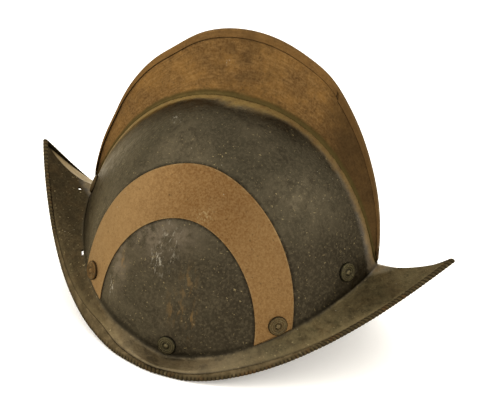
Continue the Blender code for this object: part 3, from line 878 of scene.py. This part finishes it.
def makeSheetMaterial():
    material, tree, shader, place = newMaterial("black_oil_paint_on_hammered_steel")
    spots, reach, both = maskMakers(tree, place)
    rim, root, foot = measure(tree, "rimMm"), measure(tree, "rootMm"), measure(tree, "footMm")
    edge, band, inside = measure(tree, "edgeMm"), measure(tree, "bandMm"), measure(tree, "inside")
    along, worn, hemEnd = measure(tree, "alongMm"), measure(tree, "paintMm"), measure(tree, "hemMm")
    fine = spots(1.6, 0.30, 0.70, 3.0)
    small = spots(5.0, 0.36, 0.66, 4.0, 0.6, 1.7)
    broad = spots(28.0, 0.36, 0.64, 4.0, 0.55, 3.1)
    fray = centred(tree, spots(14.0, 0.2, 0.8, 6.0, 0.7))

    # black paint, uneven in tone with rubbed grey brown patches; painted shade darkens it low on the sides,
    # and a painted sheen in pale grey brown lies on the rear shoulder
    shadedLowFront = both(reach(along, 165, 215, 30.0, fray), reach(foot, 130, 70, 20.0, fray))
    shadedLowRear = both(reach(along, 140, 90, 30.0, fray), reach(foot, 140, 90, 20.0, fray))
    rearShoulderSheen = both(reach(along, 150, 60, 40.0, fray), reach(foot, 14, 50, 20.0, fray))
    colour = coats(tree, paint["black"], paint, [
        ("blackLight", broad, 0.45),
        ("blackDeepAndShade", spots(9.0, 0.50, 0.66, 6.0, 0.65, 8.0), 0.55),
        # painted shade: darker low on the front and rear sides
        ("blackDeepAndShade", shadedLowFront, 0.75),
        ("blackDeepAndShade", shadedLowRear, 0.6),
        ("blackLight", spots(2.2, 0.45, 0.62, 4.0, 0.65, 3.0), 0.40),
        ("rubbed", both(measure(tree, "rubbed"), spots(6.0, 0.34, 0.60, 6.0, 0.65, 5.5)), 0.85),
        # painted sheen: pale grey brown on the rear shoulder
        ("brimPaleAndSheen", rearShoulderSheen, 0.35),
    ])

    # brim: thinner, browner paint, pale along the fillet and inside the roped edge
    filletBand = both(reach(foot, -14.0, -4.0, 6.0, fray), reach(foot, 3.0, -1.0, 3.0, fray))
    filletBand = both(filletBand, reach(along, 60, 160))
    towardsFront = both(reach(along, 262, 288), spots(7.0, 0.3, 0.6, 5.0, 0.6, 14.0))
    edgeBand = both(reach(edge, 12.0, 6.5, 6.0, fray), reach(along, 40, 150))
    # painted sheen: the far flank of the rear peak, seen edge on, is made pale tan
    farSide = addNode(tree, "SeparateXYZ", {}, {"Vector": place}).outputs["Y"]
    farPeakSheen = both(reach(farSide, 0.0, 0.002), reach(along, 75, 45))
    brimColour = coats(tree, paint["brimRear"], paint, [
        ("brimSide", reach(along, 80, 150, 40.0, fray), 1.0),
        ("brimFront", reach(along, 215, 275, 40.0, fray), 1.0),
        ("brimRust", spots(14.0, 0.45, 0.66, 5.0, 0.6, 5.0), 0.45),
        ("brimPaleAndSheen", fine, 0.30),
        ("brimRear", spots(9.0, 0.48, 0.62, 6.0, 0.65, 11.0), 0.6),
        ("blackDeepAndShade", spots(3.6, 0.56, 0.72, 4.0, 0.6, 9.0), 0.5),
        ("brimPaleAndSheen", filletBand, 0.15),
        ("brimRear", reach(along, 180, 120, 20.0, fray), 0.5),
        ("brimPaleAndSheen", towardsFront, 0.35),
        ("brimPaleAndSheen", edgeBand, 0.35),
        ("dirtAndShade", reach(edge, 5.6, 4.9), 0.35),
        ("farPeakSheen", farPeakSheen, 0.8),
    ])
    onBrim = reach(foot, 2.0, -3.5, 4.0, fray)
    colour = coat(tree, colour, brimColour, onBrim)
    flecked = spots(26.0, 0.30, 0.66, 4.0, 0.6, 12.0)
    colour = coats(tree, colour, paint, [
        ("fleckTan", spots(2.0, 0.655, 0.70, 3.0, 0.6, 2.0), 0.8),
        ("fleckTan", both(flecked, flecks(tree, place, 2.6, 0.26, 0.92, 4.0)), 0.4),
        ("fleckPale", both(flecked, flecks(tree, place, 3.4, 0.12, 0.95, 9.0)), 0.7),
    ])

    # comb: bare ochre steel with streaks drawn out along the arch
    unrolled = addNode(tree, "CombineXYZ", {}, {"X": along, "Y": rim}).outputs[0]
    drawnOut = addNode(tree, "VectorMath", {"operation": "MULTIPLY", 1: (0.00022, 0.001, 0.0)}, {0: unrolled})
    streaks = patches(tree, drawnOut.outputs[0], 7.0, 0.35, 0.65, 5.0, 0.65)
    hairs = patches(tree, drawnOut.outputs[0], 1.5, 0.48, 0.66, 4.0, 0.65, 2.0)
    stained = both(reach(along, 150, 190, 30.0, fray), reach(along, 225, 195, 30.0, fray))
    frontRoot = both(reach(root, 1.0, 4.0), reach(along, 185, 235))
    hemLine = both(reach(hemEnd, -1.0, -0.2), reach(hemEnd, 1.3, 0.3))
    grooveLine = both(reach(root, -6.0, -2.2, 2.0, fray), reach(root, 2.6, 0.4, 2.0, fray))
    combColour = coats(tree, paint["combOchre"], paint, [
        ("combBrown", spots(26.0, 0.42, 0.62, 5.0, 0.6, 2.0), 0.9),
        ("combBrown", streaks, 0.55),
        ("combPale", hairs, 0.26),
        ("combPale", fine, 0.30),
        ("combDark", spots(3.0, 0.56, 0.70, 4.0, 0.65, 4.0), 0.45),
        ("combDark", both(stained, spots(12.0, 0.36, 0.62, 6.0, 0.65, 6.0)), 0.45),
        ("combDark", reach(along, 90.0, 30.0, 30.0, fray), 0.35),
        ("combDark", reach(along, 250.0, 285.0, 20.0, fray), 0.8),
        ("combPale", reach(rim, 5.5, 3.0, 4.0, fray), 0.12),
        ("shoulder", both(reach(root, -3.0, 3.0, 4.0, fray), spots(5.0, 0.22, 0.58, 5.0, 0.65, 13.0)), 0.95),
        ("combBrown", frontRoot, 0.55),
        ("dirtAndShade", hemLine, 0.8),
        ("combBrown", reach(rim, 5.5, 4.5), 0.4),
        ("groove", grooveLine, 0.9),
    ])
    colour = coat(tree, colour, combColour, reach(worn, 7.0, -7.0, 9.0, fray))

    # painted shadow: a dark line just outside the crescent's raised edge and along the bowl's foot; then
    # scratches and rust
    shadowBesideCrescent = both(reach(band, 2.2, 0.2), reach(foot, 0.0, 2.0))
    shadowAtFoot = both(reach(foot, 9.0, 1.5), reach(foot, -1.2, 1.2))
    tall = addNode(tree, "VectorMath", {"operation": "MULTIPLY", 1: (1.0, 1.0, 0.30)}, {0: place}).outputs[0]
    scratched = both(measure(tree, "scuff"), patches(tree, tall, 1.8, 0.55, 0.62, 4.0, 0.7, 6.0))
    rusted = both(measure(tree, "streak"), patches(tree, tall, 3.2, 0.48, 0.60, 5.0, 0.65, 7.0))
    colour = coats(tree, colour, paint, [
        ("dirtAndShade", both(shadowBesideCrescent, spots(5.0, 0.25, 0.6, 4.0, 0.6, 6.5)), 0.75),
        ("dirtAndShade", shadowAtFoot, 0.65),
        ("scratch", scratched, 0.65),
        ("rust", rusted, 0.6),
    ])

    # inside: bare and brown, never polished
    insideLayers = [("insideDark", broad, 0.7), ("combOchre", small, 0.25)]
    insideColour = coats(tree, paint["insideBrown"], paint, insideLayers)
    colour = coat(tree, colour, insideColour, reach(inside, 0.3, 0.7))

    # greasy dirt lies matt along the comb's root, and dust on the lower stretch of the brim
    greasy = both(reach(root, 0.5, 4.0), reach(root, 22.0, 12.0))
    dusty = both(onBrim, both(reach(along, 135, 180), reach(along, 290, 230)))
    dusty = addNode(tree, "Math", {"operation": "MULTIPLY", 1: 0.5}, {0: dusty}).outputs[0]
    matt = addNode(tree, "Math", {"operation": "MAXIMUM"}, {0: greasy, 1: dusty}).outputs[0]
    bare = addNode(tree, "Math", {"operation": "MULTIPLY_ADD", 1: -0.9, 2: 1.0}, {0: matt})
    tree.links.new(bare.outputs[0], shader.inputs["Metallic"])
    finishMaterial(tree, shader, colour, (small, 0.38, 0.52), [(small, 0.07), (fine, 0.06)])
    return material


# Steel with the paint scraped off, gone ochre with old varnish and fine rust: matt and grainy.
ochre = {
    "main": "#5e4324", "brown": "#573d21", "pale": "#856b46", "edge": "#83704e", "dirtAndShade": "#231b11",
    "rust": "#654523", "fleck": paint["fleckPale"],
}


def makeCrescentMaterial():
    material, tree, shader, place = newMaterial("ochre_scraped_steel")
    spots, reach, both = maskMakers(tree, place)
    edge, along = measure(tree, "edgeMm"), measure(tree, "alongMm")
    fine = spots(1.5, 0.32, 0.68, 4.0)
    small = spots(4.0, 0.40, 0.66, 4.0, 0.6, 2.0)
    # painted highlight: a pale line along the rounded raised edge
    rimHighlight = both(reach(edge, 1.3, 0.7), reach(edge, 0.25, 0.6))
    colour = coats(tree, ochre["main"], ochre, [
        ("brown", spots(20.0, 0.42, 0.66, 4.0, 0.6, 1.0), 0.6),
        ("rust", small, 0.35),
        # painted light: the rear end of the crescent is made paler, as if lit from that side
        ("pale", reach(along, 105, 45), 0.55),
        ("pale", reach(along, 120, 150), 0.2),
        ("pale", fine, 0.40),
        ("dirtAndShade", spots(2.4, 0.60, 0.72, 4.0, 0.65, 4.0), 0.45),
        ("fleck", flecks(tree, place, 4.0, 0.12, 0.9, 3.0), 0.7),
        ("edge", both(measure(tree, "scuff"), spots(1.8, 0.52, 0.62, 4.0, 0.7, 6.0)), 0.9),
        ("edge", both(rimHighlight, spots(5.0, 0.35, 0.65, 4.0, 0.6, 6.0)), 0.5),
        # painted shade: darker at the very foot of the raised edge
        ("dirtAndShade", reach(edge, 0.35, 0.05), 0.85),
    ])
    finishMaterial(tree, shader, colour, (small, 0.50, 0.64), [(small, 0.06), (fine, 0.05)])
    return material


# Filed steel edge: dark dirt in the notches and rubbed brown crests.
roped = {"crest": "#453b27", "mid": "#342c1d", "notch": "#120f09", "rust": "#4c351d", "pale": "#776b4f"}


def makeRopeMaterial():
    material, tree, shader, place = newMaterial("filed_brown_steel")
    spots, reach, both = maskMakers(tree, place)
    groove = measure(tree, "groove")
    fine = spots(1.4, 0.34, 0.66, 4.0)
    crests = reach(groove, 0.45, 0.05)
    colour = coats(tree, roped["mid"], roped, [
        ("crest", both(crests, spots(6.0, 0.36, 0.6, 4.0, 0.6, 2.0)), 0.9),
        ("rust", spots(7.0, 0.5, 0.66, 4.0, 0.6, 5.0), 0.55),
        ("pale", both(crests, spots(3.0, 0.60, 0.70, 3.0, 0.6, 8.0)), 0.5),
        ("notch", reach(groove, 0.35, 0.85), 0.85),
        ("mid", fine, 0.25),
    ])
    # the upper inner side goes over into the brim, and has its colours
    smooth = coats(tree, paint["brimSide"], paint, [
        ("brimRear", spots(9.0, 0.40, 0.62, 6.0, 0.65, 11.0), 0.7),
        ("brimPaleAndSheen", fine, 0.3),
    ])
    colour = coat(tree, colour, smooth, measure(tree, "sloped"))
    finishMaterial(tree, shader, colour, (fine, 0.48, 0.62), [(fine, 0.08)])
    return material


# Turned brass under old black wax: dull, greenish brown, rubbed bright on the rings.
brass = {
    "wax": "#2e2a1e", "rubbed": "#544b35", "green": "#35321f", "pale": "#6b6146", "deep": "#12100b",
    "bared": ochre["main"],
}


def makeRosetteMaterial():
    material, tree, shader, place = newMaterial("waxed_turned_brass")
    spots, reach, both = maskMakers(tree, place)
    lift = measure(tree, "upMm")
    fine = spots(1.0, 0.35, 0.65, 3.0)
    colour = coats(tree, brass["wax"], brass, [
        ("green", spots(4.0, 0.4, 0.62, 4.0, 0.6, 3.0), 0.7),
        ("rubbed", reach(lift, 1.5, 2.2), 0.75),
        ("pale", both(reach(lift, 1.8, 2.4), fine), 0.4),
        ("bared", both(measure(tree, "bared"), spots(2.5, 0.2, 0.55, 4.0)), 0.7),
        ("pale", spots(1.2, 0.58, 0.66, 4.0, 0.6, 9.0), 0.6),
        ("deep", reach(lift, 1.5, 1.15), 0.6),
    ])
    finishMaterial(tree, shader, colour, (fine, 0.42, 0.58), [(fine, 0.05)])
    return material


sheetMaterial = makeSheetMaterial()
crescentMaterial = makeCrescentMaterial()
ropeMaterial = makeRopeMaterial()
rosetteMaterial = makeRosetteMaterial()
print("materials made")

for side in ("right", "left"):
    makeShell(side, sheetMaterial)
    makeCrescent(side, crescentMaterial)
    makeRope(side, ropeMaterial)
    for name, share, clearance in rosette["places"]:
        makeRosette(side, name, share, clearance, rosetteMaterial)
print("helmet made")

# ---- floor, light and camera

studio = {
    "floorSize": 12.0, "floor": "#fbf8f2", "floorGrain": "#f6f2ea", "floorRoughness": 0.75, "floorGlow": 0.2,
    "air": "#fffdfa", "airStrength": 1.75,
    "lights": [
        {"name": "key", "from": (-1.5, -1.0, 1.3), "size": 1.9, "watts": 13.0, "colour": "#fffaf2"},
        {"name": "shine", "from": (1.55, -0.25, 1.16), "size": 0.36, "watts": 4.5, "colour": "#fffdfa"},
    ],
    "aim": (0.0, 0.0, 0.11),
}


def makeFloor():
    mesh = bmesh.new()
    bmesh.ops.create_grid(mesh, x_segments=4, y_segments=4, size=studio["floorSize"] / 2)
    data = bpy.data.meshes.new("floor")
    mesh.to_mesh(data)
    mesh.free()
    material, tree, shader, place = newMaterial("matt_white_paper", 0.0)
    colour = coat(tree, studio["floor"], studio["floorGrain"], patches(tree, place, 60.0, 0.3, 0.7, 3.0), 0.3)
    tree.links.new(colour, shader.inputs["Base Color"])
    shader.inputs["Roughness"].default_value = studio["floorRoughness"]
    # washed out as in an overlit studio
    shader.inputs["Emission Color"].default_value = hexColour(studio["floor"])
    shader.inputs["Emission Strength"].default_value = studio["floorGlow"]
    data.materials.append(material)
    floor = bpy.data.objects.new("floor", data)
    bpy.context.scene.collection.objects.link(floor)


def makeLights():
    world = bpy.data.worlds.new("air")
    world.use_nodes = True
    bpy.context.scene.world = world
    background = world.node_tree.nodes["Background"]
    background.inputs["Color"].default_value = hexColour(studio["air"])
    background.inputs["Strength"].default_value = studio["airStrength"]
    for settings in studio["lights"]:
        light = bpy.data.lights.new(settings["name"], "AREA")
        light.shape = "DISK"
        light.size = settings["size"]
        light.energy = settings["watts"]
        light.color = hexColour(settings["colour"])[:3]
        lamp = bpy.data.objects.new(settings["name"], light)
        lamp.location = settings["from"]
        away = Vector(settings["from"]) - Vector(studio["aim"])
        lamp.rotation_euler = away.to_track_quat("Z", "Y").to_euler()
        bpy.context.scene.collection.objects.link(lamp)


# The view was worked out from the outlines of the comb, crescent and brim, with the helmet level.
# The picture leans by the roll. The aim moves the same view to the middle of the frame.
view = {
    "azimuthDeg": 20.21, "elevationDeg": 21.28, "rollDeg": 7.32, "distance": 1.26485,
    "target": (-0.0045, 0.0, 0.1387), "lens": 117.23, "sensor": 36.0, "aimRight": 0.00544, "aimUp": -0.03403,
}


def makeCamera():
    azimuth, elevation = math.radians(view["azimuthDeg"]), math.radians(view["elevationDeg"])
    roll = math.radians(view["rollDeg"])
    back = Vector((
        math.sin(azimuth) * math.cos(elevation), -math.cos(azimuth) * math.cos(elevation),
        math.sin(elevation),
    ))
    right = Vector((math.cos(azimuth), math.sin(azimuth), 0))
    up = back.cross(right)
    leaningRight = right * math.cos(roll) + up * math.sin(roll)
    leaningUp = up * math.cos(roll) - right * math.sin(roll)
    aimed = (back - leaningRight * view["aimRight"] - leaningUp * view["aimUp"]).normalized()
    newUp = (leaningUp - aimed * leaningUp.dot(aimed)).normalized()
    newRight = newUp.cross(aimed)
    data = bpy.data.cameras.new("camera")
    data.sensor_fit = "HORIZONTAL"
    data.sensor_width = view["sensor"]
    data.lens = view["lens"]
    data.clip_end = 50
    camera = bpy.data.objects.new("camera", data)
    place = Matrix((newRight, newUp, aimed)).transposed().to_4x4()
    place.translation = Vector(view["target"]) + back * view["distance"]
    camera.matrix_world = place
    bpy.context.scene.collection.objects.link(camera)
    bpy.context.scene.camera = camera


makeFloor()
makeLights()
makeCamera()
bpy.context.scene.view_settings.view_transform = "Standard"
print("studio made")
